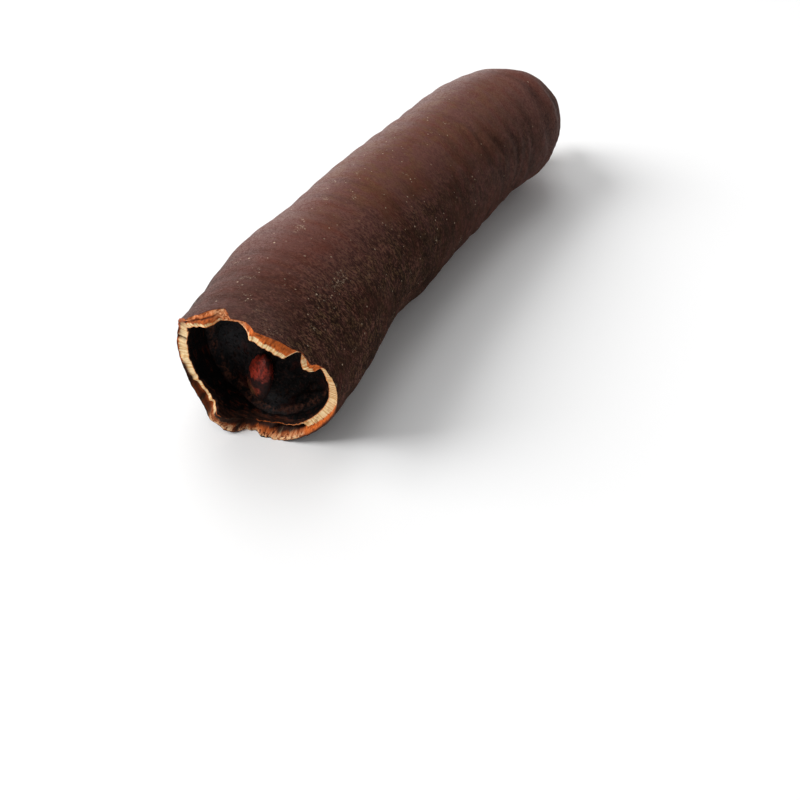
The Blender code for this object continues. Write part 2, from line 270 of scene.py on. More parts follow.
def bearing(name, description, degrees):
    """An angle that the sidebar shows."""
    default = math.radians(degrees)
    return FloatProperty(name=name, description=description, default=default, unit="ROTATION")


class PodFinish(bpy.types.PropertyGroup):
    """The colours of the pod's finishes."""

    bark_purple: colour("Bark, purple", "Main colour of the bark", 108, 69, 62)
    bark_red: colour("Bark, red", "Warm patches of the bark", 106, 58, 48)
    # The smooth side's painted sheen, given as a waxy bloom; the pulp's painted sheen specks use it too
    bark_painted_sheen: colour("Bark, bloom", "Waxy bloom on the smooth side", 143, 115, 109)
    bark_ochre: colour("Bark, ochre", "Rubbed patches of the bark", 116, 82, 56)
    bark_olive: colour("Bark, olive", "Weathered bark by the mouth and the stalk", 58, 38, 25)
    # Painted highlights on the crests of the fine wrinkles, on the smooth bark and on the weathering bark
    bark_crest_highlight: colour("Bark, lifted", "Crests of the fine wrinkles of the bark", 134, 92, 76)
    bark_weathered_crest_highlight: colour("Bark, tan", "Crests of the weathered bark", 124, 96, 68)
    # Also the painted shade in the bark's hollows and on its low side, and in the torn wall's grooves and
    # cracks
    bark_dark: colour("Bark, dark", "Hollows and cracks of the bark", 20, 9, 5)
    bark_fleck: colour("Bark, flecks", "Fine pale flecks and scuffs", 204, 180, 154)
    wood_pale: colour("Wood, pale", "The torn wall's inner wood", 255, 226, 176)
    wood_shade: colour("Wood, shade", "Lines between the rays of the wood", 224, 174, 112)
    fibre_orange: colour("Fibre, orange", "The torn wall's outer fibre", 217, 107, 38)
    fibre_brown: colour("Fibre, brown", "The darker outer fibre", 102, 46, 22)
    film_black: colour("Pulp, black", "Dried pulp and its film on the bore", 4, 3, 3)
    film_red: colour("Pulp, red", "Where the pulp is thin", 50, 16, 11)
    # Painted highlights on the pulp
    pulp_highlight_grey: colour("Pulp, frosted", "Fine frost and streaks on the pulp", 66, 66, 68)
    skin_brown: colour("Pulp, skin", "Torn skin between the pulp and the wall", 108, 64, 48)
    bore_brown: colour("Bore, brown", "Bare inner wall by the mouth", 62, 34, 24)
    seed_brown: colour("Seed, brown", "The seed's coat", 158, 50, 34)
    seed_olive: colour("Seed, olive", "The seed's rim", 62, 56, 36)
    stalk_tan: colour("Stalk, tan", "The stalk's fibres", 214, 174, 112)
    stalk_brown: colour("Stalk, brown", "Between the stalk's fibres", 134, 78, 38)


class PodRelief(bpy.types.PropertyGroup):
    """How strongly the pod's fine surface is worked."""

    wrinkle: length("Wrinkles", "Height of the fine wrinkles round the bark", 0.00007)
    far_ring: length("Far rings", "Extra height of the rings towards the stalk", 0.00005)
    fold: length("Folds", "Height of the soft folds round the side towards the stalk", 0.00026)
    tear: length("Tear", "Raggedness of the torn edges", 0.00020)
    fray: length("Fray", "Depth of the frayed fibre at the mouth's lowest part", 0.00070)
    collar: length("Collar", "Raggedness of the neck's torn lip", 0.00050)
    columns: IntProperty(name="Columns", description="Steps round the shell", default=280, min=24)


class StageSetting(bpy.types.PropertyGroup):
    """The floor, the lights and the camera."""

    floor_side: length("Floor", "Side of the square floor", 6.0)
    key: power("Key light", "Power of the strong light from the left", 18.0)
    top: power("Top light", "Power of the light overhead", 4.0)
    back: power("Back light", "Power of the low light behind", 4.0)
    sky: FloatProperty(name="Sky", description="Strength of the even light all round", default=0.35)
    lens: FloatProperty(name="Lens", description="Focal length", default=39.47, unit="CAMERA")
    camera_place: FloatVectorProperty(
        name="Camera", description="Where the camera stands", default=(0.0663, -0.1206, 0.0939),
        unit="LENGTH",
    )
    camera_yaw: bearing("Camera turn", "Turn to the left of +Y", 29.72)
    camera_dip: bearing("Camera dip", "Angle below the level", 43.07)


class Socket:
    """An output of a shader node. Arithmetic on it adds Math nodes beside it."""

    def __init__(self, finish, output):
        self.finish = finish
        self.output = output

    def sibling(self, name):
        """Another output of the same node."""
        return Socket(self.finish, self.output.node.outputs[name])

    def math(self, operation, *values, clamp=False):
        """A Math node on these values."""
        settings = {"operation": operation, "use_clamp": clamp}
        return self.finish.node("ShaderNodeMath", settings, dict(enumerate(values)))

    def clamped(self):
        """This value held between 0 and 1."""
        return self.math("ADD", self, 0.0, clamp=True)

    def size(self):
        """This value without its sign."""
        return self.math("ABSOLUTE", self)

    def __add__(self, other):
        return self.math("ADD", self, other)

    __radd__ = __add__

    def __sub__(self, other):
        return self.math("SUBTRACT", self, other)

    def __rsub__(self, other):
        return self.math("SUBTRACT", other, self)

    def __mul__(self, other):
        return self.math("MULTIPLY", self, other)

    __rmul__ = __mul__


class Finish:
    """A material in the making."""

    def __init__(self, name):
        self.material = bpy.data.materials.new(name)
        self.material.use_nodes = True
        self.tree = self.material.node_tree
        self.shader = self.tree.nodes["Principled BSDF"]

    def node(self, kind, settings, values, output=0):
        """A node of a kind, its settings made first, and then the values or links of its sockets."""
        made = self.tree.nodes.new(kind)
        for key, value in settings.items():
            setattr(made, key, value)
        for key, value in values.items():
            if isinstance(value, Socket):
                self.tree.links.new(value.output, made.inputs[key])
            else:
                made.inputs[key].default_value = value
        return Socket(self, made.outputs[output])

    def attribute(self, name, output="Fac"):
        """A named value that the mesh carries."""
        return self.node("ShaderNodeAttribute", {"attribute_name": name}, {}, output)

    def place(self, stretch, name="place"):
        """The place on the piece in millimetres, stretched along each of its own directions."""
        vector = self.attribute(name, "Vector")
        return self.node("ShaderNodeVectorMath", {"operation": "MULTIPLY"}, {0: vector, 1: stretch})

    def noise(self, stretch, detail=4.0, rough=0.55, warp=0.0, name="place"):
        """Even noise from about 0 to 1, of one cell to a millimetre before it is stretched."""
        place = self.place(stretch, name)
        values = {"Vector": place, "Scale": 1.0, "Detail": detail, "Roughness": rough, "Distortion": warp}
        return self.node("ShaderNodeTexNoise", {}, values)

    def crests(self, stretch, width, detail=2.0, warp=0.6):
        """1 along winding lines, and 0 between them."""
        wave = self.noise(stretch, detail=detail, warp=warp)
        return self.step((wave - 0.5).size(), width, 0.15 * width)

    def cells(self, stretch, feature="F1"):
        """Distance to the nearest point of a scatter, or to the line half way between its points."""
        values = {"Vector": self.place(stretch), "Scale": 1.0}
        return self.node("ShaderNodeTexVoronoi", {"feature": feature}, values)

    def step(self, value, low, high):
        """0 at low, 1 at high, and smooth between."""
        values = {"Value": value, "From Min": low, "From Max": high}
        return self.node("ShaderNodeMapRange", {"interpolation_type": "SMOOTHSTEP"}, values)

    def mix(self, share, first, second):
        """A blend of two colours."""
        values = {"Factor": share, 6: self.as_colour(first), 7: self.as_colour(second)}
        return self.node("ShaderNodeMix", {"data_type": "RGBA"}, values, 2)

    @staticmethod
    def as_colour(value):
        """A colour with its fourth number, or a link as it is."""
        return value if isinstance(value, Socket) else (*value, 1.0)

    def bump(self, height, distance):
        """A surface raised by the distance where the height is 1."""
        return self.node("ShaderNodeBump", {}, {"Height": height, "Distance": distance, "Strength": 1.0})

    def shade(self, **values):
        """Gives the shader its values and links."""
        for key, value in values.items():
            target = self.shader.inputs[key.replace("_", " ")]
            if isinstance(value, Socket):
                self.tree.links.new(value.output, target)
            else:
                target.default_value = value
        return self.material


def bark_finish(look):
    """Dry bark: purple brown with warm, ochre and olive patches, fine strokes round it, pale flecks, and
    painted light: sheen on the smooth side, highlights on the wrinkles' crests, and shade on the low side
    and in the hollows.
    """
    made = Finish("bark")
    weathered_and_shaded = made.attribute("weathered_and_shaded")
    satin_and_painted_sheen = made.attribute("satin_and_painted_sheen")
    rubbed = made.attribute("rubbed")
    torn = made.attribute("torn")
    hollow_shade = made.attribute("hollow_shade")
    worked = made.attribute("worked")
    flecked = made.attribute("flecked")
    patches = made.noise((0.16, 0.16, 0.10), detail=3)
    mottle = made.noise((0.55, 0.55, 0.75), detail=5, rough=0.6)
    blotches = made.step(made.noise((0.11, 0.11, 0.14), detail=3, warp=0.5), 0.40, 0.62)
    strokes = made.noise((1.5, 1.5, 3.4), detail=4, rough=0.62, warp=0.6)
    wrinkles = made.crests((1.3, 1.3, 3.8), width=0.11, warp=0.8)
    creases = made.crests((0.42, 0.42, 1.25), width=0.09, detail=3)
    grain = made.noise((4.6, 4.6, 6.0), detail=3, rough=0.65)
    calm = made.step(patches * 0.8 + mottle * 0.4, 0.50, 0.72)
    bands = made.noise((0.05, 0.05, 0.55), detail=2)
    warm = made.step(patches * 0.7 + bands * 0.5, 0.52, 0.74)
    olive = (weathered_and_shaded * made.step(mottle, 0.38, 0.60)).clamped()
    ochre = (rubbed * made.step(patches * 0.5 + mottle * 0.6, 0.48, 0.66)).clamped()
    tone = made.mix(warm, look.bark_purple, look.bark_red)
    # Painted sheen: the smooth side is lighter where the light catches it; the coat below follows the same
    # share
    painted_sheen = satin_and_painted_sheen * (0.08 + 0.92 * made.step(patches * 0.35 + mottle * 0.35 + grain * 0.6, 0.52, 0.78))
    tone = made.mix(painted_sheen.clamped(), tone, look.bark_painted_sheen)
    tone = made.mix(olive * 0.55, tone, look.bark_olive)
    tone = made.mix(ochre * 0.60, tone, look.bark_ochre)
    # Darker where the bark is weathering, and on the low side, where the darkening is painted shade
    stain = weathered_and_shaded * (0.34 + 0.34 * mottle + 0.16 * patches + 0.24 * blotches)
    tone = made.mix(stain.clamped(), tone, look.bark_dark)
    # Painted shade in the hollows of the folds and between the rings
    tone = made.mix(made.step(hollow_shade, 0.05, 0.95) * 0.46, tone, look.bark_dark)
    busy = worked * (1.15 - 0.75 * calm)
    # The strokes' dark lies where the relief is low: it is a pattern, and also painted shade in the
    # creases
    tone = made.mix(made.step(strokes, 0.54, 0.36) * (0.08 + 0.34 * busy), tone, look.bark_dark)
    tone = made.mix(made.step(grain, 0.52, 0.36) * (0.16 + 0.34 * worked), tone, look.bark_dark)
    # Painted highlights on the crests of the wrinkles
    crest = made.mix(olive, look.bark_crest_highlight, look.bark_weathered_crest_highlight)
    crest_highlight = wrinkles * made.step(strokes, 0.44, 0.56) * (0.08 + 0.58 * busy)
    tone = made.mix(crest_highlight, tone, crest)
    crowded = made.step(made.noise((0.26, 0.26, 0.26), detail=2), 0.60, 0.68)
    scuffs = wrinkles * made.step(grain, 0.50, 0.60) * made.step(mottle, 0.52, 0.60) * crowded * flecked
    tone = made.mix(scuffs * 0.70, tone, look.bark_fleck)
    flecks = made.cells((2.1, 2.1, 2.6))
    chance = made.node("ShaderNodeSeparateColor", {}, {0: flecks.sibling("Color")})
    lucky = made.step(chance + flecked * (0.030 + 0.12 * crowded), 0.995, 1.0)
    dots = made.step(flecks - 0.22 * chance.sibling("Green"), 0.20, 0.07)
    dots = dots * lucky * made.step(grain, 0.38, 0.52)
    tone = made.mix(dots * 0.9, tone, look.bark_fleck)
    lip = made.mix(made.step(grain, 0.5, 0.8), look.fibre_brown, look.fibre_orange)
    tone = made.mix(torn, tone, lip)
    height = strokes * 0.50 + grain * 0.28 + mottle * 0.25
    height = height + wrinkles * (0.08 + 0.26 * worked) + creases * 0.14
    beaded = made.step(grain * 0.55 + strokes * 0.45, 0.42, 0.60)
    gloss = 0.50 + 0.16 * mottle + 0.14 * grain + 0.16 * weathered_and_shaded
    return made.shade(
        Base_Color=tone, Roughness=gloss.clamped(), Normal=made.bump(height + dots * 0.25, 0.00020),
        Coat_Weight=(satin_and_painted_sheen * (0.10 + 0.95 * beaded) * (0.6 + 0.5 * mottle)).clamped(), Coat_Roughness=0.36,
        Specular_IOR_Level=0.04,
    )


def torn_finish(look):
    """The torn wall: pale wood with fine rays, and orange fibre towards the bark, with dark bands that are
    painted shade where they lie over its grooves and in its cracks.
    """
    made = Finish("torn_wall")
    across = made.attribute("across")
    share = made.attribute("fibre_share")
    fray = made.attribute("fray")
    dark_share = made.attribute("dark_band")
    bleach = made.attribute("pale_band")
    where = "wall_place"
    rays = made.noise((4.2, 4.2, 0.25), detail=2, rough=0.5, name=where)
    threads = made.noise((2.3, 2.3, 1.9), detail=5, rough=0.66, warp=1.1, name=where)
    grain = made.noise((6.0, 6.0, 4.0), detail=3, rough=0.6, name=where)
    wander = (made.noise((0.9, 0.9, 0.9), detail=3, name=where) - 0.5) * 0.30 + (rays - 0.5) * 0.22
    wood = made.mix(made.step(rays, 0.34, 0.60), look.wood_shade, look.wood_pale)
    wood = made.mix(made.step(grain, 0.58, 0.72) * 0.45, wood, look.wood_shade)
    wood = made.mix(made.step(rays, 0.36, 0.26) * 0.45, wood, look.fibre_orange)
    shaded = made.step(threads, 0.58, 0.34) * (0.55 + 0.45 * fray)
    fibre = made.mix(shaded, look.fibre_orange, look.fibre_brown)
    fibre = made.mix((bleach * made.step(threads, 0.40, 0.58)).clamped(), fibre, look.wood_pale)
    inward = made.step(across + wander - share, -0.05, 0.06)
    tone = made.mix(inward, fibre, wood)
    # Dark bands and cracks: the fibre's dark brown, and painted shade in the grooves and cracks
    darkened = (dark_share * (0.65 + 0.8 * threads)).clamped()
    tone = made.mix(darkened * 0.90, tone, look.fibre_brown)
    tone = made.mix(made.step(dark_share * (0.6 + 0.8 * threads), 0.50, 1.05) * 0.92, tone, look.bark_dark)
    tone = made.mix(fray * made.step(threads, 0.48, 0.34) * 0.85, tone, look.bark_dark)
    pale_threads = fray * made.step(threads, 0.55, 0.68) * made.step(across, 0.55, 0.25)
    tone = made.mix(pale_threads * 0.38, tone, look.wood_pale)
    tone = made.mix(made.step(across, 0.07, 0.01), tone, look.bore_brown)
    tone = made.mix(made.step(across, 0.88, 1.0) * 0.75, tone, look.fibre_orange)
    height = rays * 0.3 + threads * (0.3 + fray) + grain * 0.15
    return made.shade(
        Base_Color=tone, Roughness=0.78, Normal=made.bump(height, 0.00022), Specular_IOR_Level=0.2,
    )


def bore_finish(look):
    """The bore: a bare brown edge by the mouth, and then a black film of dried pulp."""
    made = Finish("bore")
    film = made.attribute("film")
    smear = made.noise((0.9, 0.9, 0.7), detail=4, warp=0.6)
    streak = made.noise((0.35, 0.35, 2.2), detail=4, rough=0.6)
    coated = made.step(film + (smear - 0.5) * 0.7, 0.40, 0.60)
    bare = made.mix(made.step(streak, 0.40, 0.70), look.bark_dark, look.bore_brown)
    thin = made.step(smear * 0.6 + streak * 0.5, 0.58, 0.74) * 0.8
    pulp = made.mix(thin, look.film_black, look.film_red)
    rim = (coated * (1 - coated) * 4).clamped() * made.step(streak, 0.45, 0.6)
    tone = made.mix(rim * 0.45, made.mix(coated, bare, pulp), look.fibre_brown)
    veins = made.crests((0.10, 0.10, 0.55), width=0.022, detail=3) * made.step(smear, 0.42, 0.60)
    tone = made.mix(veins * 0.30, tone, look.fibre_brown)
    gloss = 0.72 - 0.20 * coated + 0.18 * smear
    return made.shade(
        Base_Color=tone, Roughness=gloss.clamped(), Normal=made.bump(smear * 0.7 + streak * 0.3, 0.00040),
        Specular_IOR_Level=0.10,
    )


def pulp_finish(look):
    """Dried pulp: black, with a dull gloss, dark red where it is thin, with patches of painted grey
    highlight and specks of faint painted sheen.
    """
    made = Finish("pulp")
    lump = made.noise((0.45, 0.45, 0.45), detail=5, rough=0.6, warp=0.5)
    fine = made.noise((2.4, 2.4, 2.4), detail=4, rough=0.6)
    thin = made.step(made.noise((0.28, 0.28, 0.28), detail=2), 0.50, 0.68)
    streaks = made.crests((0.9, 0.5, 0.7), width=0.06, detail=4, warp=0.9)
    # Faint painted sheen, in specks over the pulp
    sheen_specks = made.step(fine, 0.60, 0.72)
    tone = made.mix(thin * made.step(lump, 0.40, 0.62), look.film_black, look.film_red)
    tone = made.mix(streaks * made.step(fine, 0.42, 0.60) * 0.34, tone, look.bore_brown)
    tone = made.mix(sheen_specks * 0.10, tone, look.bark_painted_sheen)
    # Painted highlights, feathered, in the listed patches
    feather = made.crests((1.5, 1.0, 1.0), width=0.16, detail=4, warp=0.7)
    tone = made.mix((made.attribute("painted_highlight") * (0.03 + 0.42 * feather)).clamped(), tone, look.pulp_highlight_grey)
    skin = made.attribute("skin") * made.step(lump * 0.6 + fine * 0.5, 0.50, 0.66)
    tone = made.mix(skin * 0.5, tone, look.skin_brown)
    gloss = 0.26 + 0.34 * lump + 0.16 * fine
    return made.shade(
        Base_Color=tone, Roughness=gloss.clamped(), Normal=made.bump(lump * 0.7 + fine * 0.3, 0.00055),
        Specular_IOR_Level=0.06,
    )


def seed_finish(look):
    """A hard, glossy seed coat, olive round its rim, with fine crazing, and pulp dried onto it."""
    made = Finish("seed_coat")
    rim = made.attribute("rim")
    crust = made.attribute("crust")
    cloud = made.noise((0.35, 0.35, 0.35), detail=3)
    fine = made.noise((1.8, 1.8, 1.8), detail=4, rough=0.6)
    crazing = made.cells((1.6, 1.6, 1.6), "DISTANCE_TO_EDGE")
    cracks = made.step(crazing, 0.05, 0.01)
    tone = made.mix((rim * 0.8 * made.step(cloud, 0.3, 0.6)).clamped(), look.seed_brown, look.seed_olive)
    tone = made.mix(cracks * 0.4, tone, look.bark_dark)
    tone = made.mix(made.step(fine, 0.58, 0.42) * 0.7, tone, look.bark_dark)
    ragged = made.noise((0.8, 0.8, 0.8), detail=4, rough=0.6)
    coated = made.step(crust + (ragged - 0.5) * 1.4 + (fine - 0.5) * 1.2, 0.28, 0.64)
    tone = made.mix(coated * 0.94, tone, look.film_black)
    gloss = 0.26 + 0.20 * cloud + 0.35 * coated
    return made.shade(
        Base_Color=tone, Roughness=gloss.clamped(), Normal=made.bump(fine, 0.00015),
        Specular_IOR_Level=0.16,
    )


def stalk_finish(look):
    """Torn stalk: tan strands with brown between them."""
    made = Finish("stalk_fibre")
    strands = made.noise((3.2, 3.2, 0.35), detail=5, rough=0.65)
    stain = made.noise((0.5, 0.5, 0.5), detail=3)
    tone = made.mix(made.step(strands, 0.38, 0.60), look.stalk_brown, look.stalk_tan)
    tone = made.mix(made.step(stain, 0.50, 0.72) * 0.6, tone, look.fibre_orange)
    return made.shade(
        Base_Color=tone, Roughness=0.85, Normal=made.bump(strands, 0.00025), Specular_IOR_Level=0.2,
    )


def floor_finish():
    """A plain, pale, matt floor with the faintest unevenness of tone."""
    made = Finish("floor_white")
    cloud = made.node("ShaderNodeTexNoise", {}, {"Scale": 6.0, "Detail": 2.0})
    tone = made.mix(cloud, srgb(244, 244, 244), srgb(248, 248, 248))
    return made.shade(Base_Color=tone, Roughness=0.9, Specular_IOR_Level=0.1)


def torn_edge(outline, degrees):
    """An outline's value at each angle: straight runs between its points."""
    angles = [angle for angle, _ in outline]
    values = [value for _, value in outline]
    return np.interp(degrees, angles, values, period=360)


def bell(distance, reach):
    """1 at no distance, falling smoothly away over the reach."""
    return np.exp(-(distance**2) / (2 * reach**2))


def ramp(value, low, high):
    """0 at low, 1 at high, and smooth between."""
    share = np.clip((value - low) / (high - low), 0, 1)
    return share * share * (3 - 2 * share)


def facing_share(angle, side):
    """1 on the side of the pod that faces an angle in degrees, and -1 on the side away from it."""
    return np.cos(angle - math.radians(side))


def degrees_apart(first, second):
    """The angle between two directions round the pod."""
    return (first - second + 180) % 360 - 180


def noise_at(points, size):
    """Smooth noise at each point, with lumps of a size."""
    spots = (points / size).reshape(-1, 3).tolist()
    return np.array([noise.noise(spot) for spot in spots]).reshape(points.shape[:-1])


def body_radius(station):
    """The pod's girth without its rounded end: widest near the middle, thinner at the stalk."""
    thin = np.maximum(0, station / DOME_START - THIN_END_START)
    return POD_RADIUS * (1 - THIN_END_SHARE * thin**1.5)


def outer_radius(station):
    """The bark's radius: the body, closed by the dome, which runs out into the neck."""
    station = np.asarray(station, float)
    share = np.clip((station - DOME_START) / DOME_LENGTH, 0, 1)
    dome = body_radius(station) * np.sqrt(1 - share**DOME_POWER)
    run = np.clip((station - DOME_START) / (NECK_LIP - DOME_START), 0, 1)
    neck = NECK_RADIUS + (NECK_LIP_RADIUS - NECK_RADIUS) * run**2
    joined = (dome**NECK_BLEND + neck**NECK_BLEND) ** (1 / NECK_BLEND)
    return np.where(station <= DOME_START, body_radius(station), joined)


def on_pod(radius, angle, station):
    """The points at these radii, angles and stations, no lower than what the pod lies on."""
    along = station - BEND_STATION
    past = np.maximum(0, station - NECK_BEND_START)
    turn = along / BEND_RADIUS
    height = body_radius(np.minimum(station, DOME_START)) - SEAT_DEPTH - NECK_DOWNWARDS * past
    sideways = radius * np.cos(angle)
    x = PLAN_X + along**2 / (2 * BEND_RADIUS) + NECK_SIDEWAYS * past + sideways * np.cos(turn)
    y = PLAN_Y + station - sideways * np.sin(turn)
    z = height + radius * np.sin(angle)
    return np.stack([x, y, np.maximum(z, 0)], -1)


def angles_round(rows, columns):
    """The angle of each point of a mesh that has rows of so many columns, a row to each ring."""
    return np.broadcast_to(np.arange(columns) * math.tau / columns, (rows, columns))


def face_on(radius, angle, depth=0.0):
    """Places as they are seen from the mouth: two directions across the pod, and the depth."""
    return np.stack([radius * np.cos(angle), radius * np.sin(angle), depth + 0 * angle], -1)


def line_point(station):
    """The point of the pod's centre line at a station."""
    return on_pod(np.array(0.0), np.array(0.0), np.array(station)).tolist()


def unrolled(angle, station):
    """The place on a straight pod, which the relief's noise follows."""
    return np.stack([POD_RADIUS * np.cos(angle), station, POD_RADIUS * np.sin(angle)], -1)


def suture_share(degrees):
    """1 on either of the pod's two sutures, and 0 away from them."""
    return sum(bell(degrees_apart(degrees, suture), SUTURE_WIDTH) for suture in SUTURE_ANGLES)


def bark_relief(angle, station):
    """The relief that the solids have: a ring at each cross wall, sutures, lumps and swells."""
    degrees = np.degrees(angle)
    fade = np.clip((NECK_LIP - station) / RELIEF_FADE, 0, 1)
    uneven = 0.55 + 0.9 * noise_at(unrolled(angle, station), 0.010)
    total = RING_RISE * uneven * np.cos(math.tau * (station - FIRST_SEPTUM) / RING_PITCH)
    total -= SUTURE_DEPTH * suture_share(degrees)
    total += LUMP_RISE * noise_at(unrolled(angle, station), LUMP_SIZE)
    for at_station, at_degrees, rise, reach in SWELLS:
        round_way = np.radians(degrees_apart(degrees, at_degrees)) * POD_RADIUS
        total += rise * bell(np.hypot(station - at_station, round_way), reach)
    return fade * total


def fold_share(angle, station):
    """The soft folds round one side towards the stalk: 1 on a crest, -1 in a hollow, 0 elsewhere."""
    at = unrolled(angle, station)
    folds = 1 - 2 * np.abs(np.sin(math.pi * station / FOLD_PITCH + 2.8 * noise_at(at, 0.011)))
    side = ramp(facing_share(angle, FOLD_SIDE), 0.05, 0.85)
    return folds * side * ramp(station, 0.050, 0.075) * (0.6 + 0.8 * noise_at(at, 0.009))


def ring_wave(angle, station):
    """The rings, one at each cross wall: 1 on a crest and -1 between, wandering along the pod."""
    wander = 1.1 * noise_at(unrolled(angle, station), 0.016)
    return np.cos(math.tau * (station - FIRST_SEPTUM) / RING_PITCH + wander)


def ring_share(angle, station):
    """How much the rings show in the bark's colour, as painted shade between their crests, uneven round
    the pod.
    """
    uneven = 0.8 + 0.7 * noise_at(unrolled(angle, station), 0.014)
    return 0.42 * ring_wave(angle, station) * uneven * ramp(station, NECK_BEND_START, DOME_START)


def fine_relief(angle, station, relief):
    """What the fine surface adds: wrinkles round the pod, folds, and higher rings by the stalk."""
    at = unrolled(angle, station)
    wrinkles = 1 - 2 * np.abs(noise_at(at * np.array([1 / 3.6, 1 / 0.75, 1 / 3.6]), 0.001))
    wide = noise_at(at * np.array([0.6, 1.5, 0.6]), 0.0030)
    patchy = ramp(noise_at(at, 0.012), -0.35, 0.35)
    rough = 0.45 + 0.55 * patchy * ramp(facing_share(angle, FOLD_SIDE), -0.6, 0.5)
    far = ramp(station, 0.040, 0.085) * (0.35 + 0.65 * ramp(facing_share(angle, RING_SIDE), -0.2, 0.7))
    uneven = 0.6 + 0.8 * noise_at(at, 0.009)
    total = relief.wrinkle * (wrinkles * rough + 1.3 * wide)
    total += relief.fold * fold_share(angle, station)
    return total + relief.far_ring * far * ring_wave(angle, station) * uneven


def evenly(points, spacing):
    """Points spread evenly along a line of points, both ends kept."""
    points = np.asarray(points, float)
    run = np.concatenate([[0], np.cumsum(np.hypot(*np.diff(points, axis=0).T))])
    count = max(2, round(run[-1] / spacing) + 1)
    at = np.linspace(0, run[-1], count)
    return np.stack([np.interp(at, run, points[:, 0]), np.interp(at, run, points[:, 1])], 1)


def surface_line(start, end, inset=0.0):
    """The bark's section between two stations, or the section of a surface set in from it."""
    stations = np.linspace(start, end, LINE_POINTS)
    return np.stack([outer_radius(stations) - inset, stations], 1)


def shell_rows():
    """The shell's section from the socket out over the bark, across the torn rim and back inside.

    Each row is a radius, a station, the share of the wall's thickness that it lies at, and a zone.
    """
    rows = []

    def add(line, zone, depth):
        rows.extend((radius, station, depth, zone) for radius, station in line)

    add([(SOCKET_RADIUS * 0.5, SOCKET_FLOOR), (SOCKET_RADIUS, SOCKET_FLOOR)], BARK, 0.5)
    add(evenly([(SOCKET_RADIUS, SOCKET_FLOOR), (SOCKET_RADIUS, NECK_LIP)], SOCKET_STEP)[1:], BARK, 0.5)
    add(evenly(surface_line(NECK_LIP, DOME_START), NECK_STEP), BARK, 0.0)
    add(evenly(surface_line(DOME_START, MOUTH_ZONE), BARK_STEP)[1:], BARK, 0.0)
    add(evenly(surface_line(MOUTH_ZONE, 0.0), MOUTH_STEP)[1:], BARK, 0.0)
    depths = np.linspace(0, 1, RIM_STEPS + 1)
    rows.extend((outer_radius(0.0) - WALL * depth, 0.0, depth, TORN) for depth in depths[1:])
    add(evenly(surface_line(0.0, OPEN_BORE_END, WALL), OPEN_BORE_STEP)[1:], BORE, 1.0)
    add(evenly(surface_line(OPEN_BORE_END, DOME_START, WALL), CLOSED_BORE_STEP)[1:], BORE, 1.0)
    shares = np.array([0.35, 0.62, 0.82, 0.94])
    shrunk = (body_radius(DOME_START) - WALL) * np.sqrt(1 - shares**DOME_POWER)
    add(np.stack([shrunk, DOME_START + shares * INNER_DOME_LENGTH], 1), BORE, 1.0)
    return np.array(rows)


def turned_mesh(name, points, zones, start, end):
    """A closed mesh of rows of points, each row a ring, closed by a point at its start and end."""
    rows, columns = points.shape[:2]
    vertices = [*points.reshape(-1, 3).tolist(), start, end]
    faces = []
    kinds = []
    for row in range(rows - 1):
        for column in range(columns):
            beside = (column + 1) % columns
            low, high = row * columns, (row + 1) * columns
            faces.append((low + column, low + beside, high + beside, high + column))
            kinds.append(int(max(zones[row], zones[row + 1])))
    first, last, top = rows * columns, rows * columns + 1, (rows - 1) * columns
    for column in range(columns):
        beside = (column + 1) % columns
        faces.append((first, beside, column))
        faces.append((last, top + column, top + beside))
        kinds += [int(zones[0]), int(zones[-1])]
    mesh = bpy.data.meshes.new(name)
    mesh.from_pydata(vertices, [], faces)
    mesh.polygons.foreach_set("material_index", kinds)
    work = bmesh.new()
    work.from_mesh(mesh)
    bmesh.ops.recalc_face_normals(work, faces=work.faces)
    work.to_mesh(mesh)
    work.free()
    mesh.shade_smooth()
    return mesh


def disc_mesh(name, points):
    """A closed mesh of one finish, closed at the middles of its first and its last ring."""
    start, end = (points[row].mean(0).tolist() for row in (0, -1))
    return turned_mesh(name, points, np.zeros(len(points)), start, end)


def give_numbers(mesh, name, values):
    """A number for each vertex. The two closing points take the first and the last row's."""
    values = np.asarray(values, np.float32)
    flat = np.concatenate([values.ravel(), [values.flat[0], values.flat[-1]]])
    mesh.attributes.new(name, "FLOAT", "POINT").data.foreach_set("value", flat)


def give_places(mesh, places, name="place"):
    """The place in millimetres that each vertex has for its textures."""
    flat = np.concatenate([places.reshape(-1, 3), places[0, :1], places[-1, -1:]]) / MM
    vectors = flat.ravel().astype(np.float32)
    mesh.attributes.new(name, "FLOAT_VECTOR", "POINT").data.foreach_set("vector", vectors)


def link_piece(name, mesh, materials, slot, *nodes):
    """Puts a piece in the scene, on its body, in place of its nodes."""
    piece = bpy.data.objects.new(name, mesh)
    bpy.context.scene.collection.objects.link(piece)
    for material in materials:
        mesh.materials.append(material)
    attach(piece, BODY)
    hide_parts(*nodes)


def band_share(bands, degrees, depth):
    """How strongly bands of the torn wall cover each place on it."""
    total = 0.0
    for start, end, middle, spread, strength in bands:
        along = ramp(degrees_apart(degrees, start), -2, 2) * ramp(degrees_apart(end, degrees), -2, 2)
        total = total + strength * along * bell(depth - middle, spread)
    return total


def crack_share(degrees):
    """How strongly cracks cross the torn wall at each angle."""
    return sum(strength * bell(degrees_apart(degrees, at), CRACK_WIDTH) for at, strength in CRACKS)


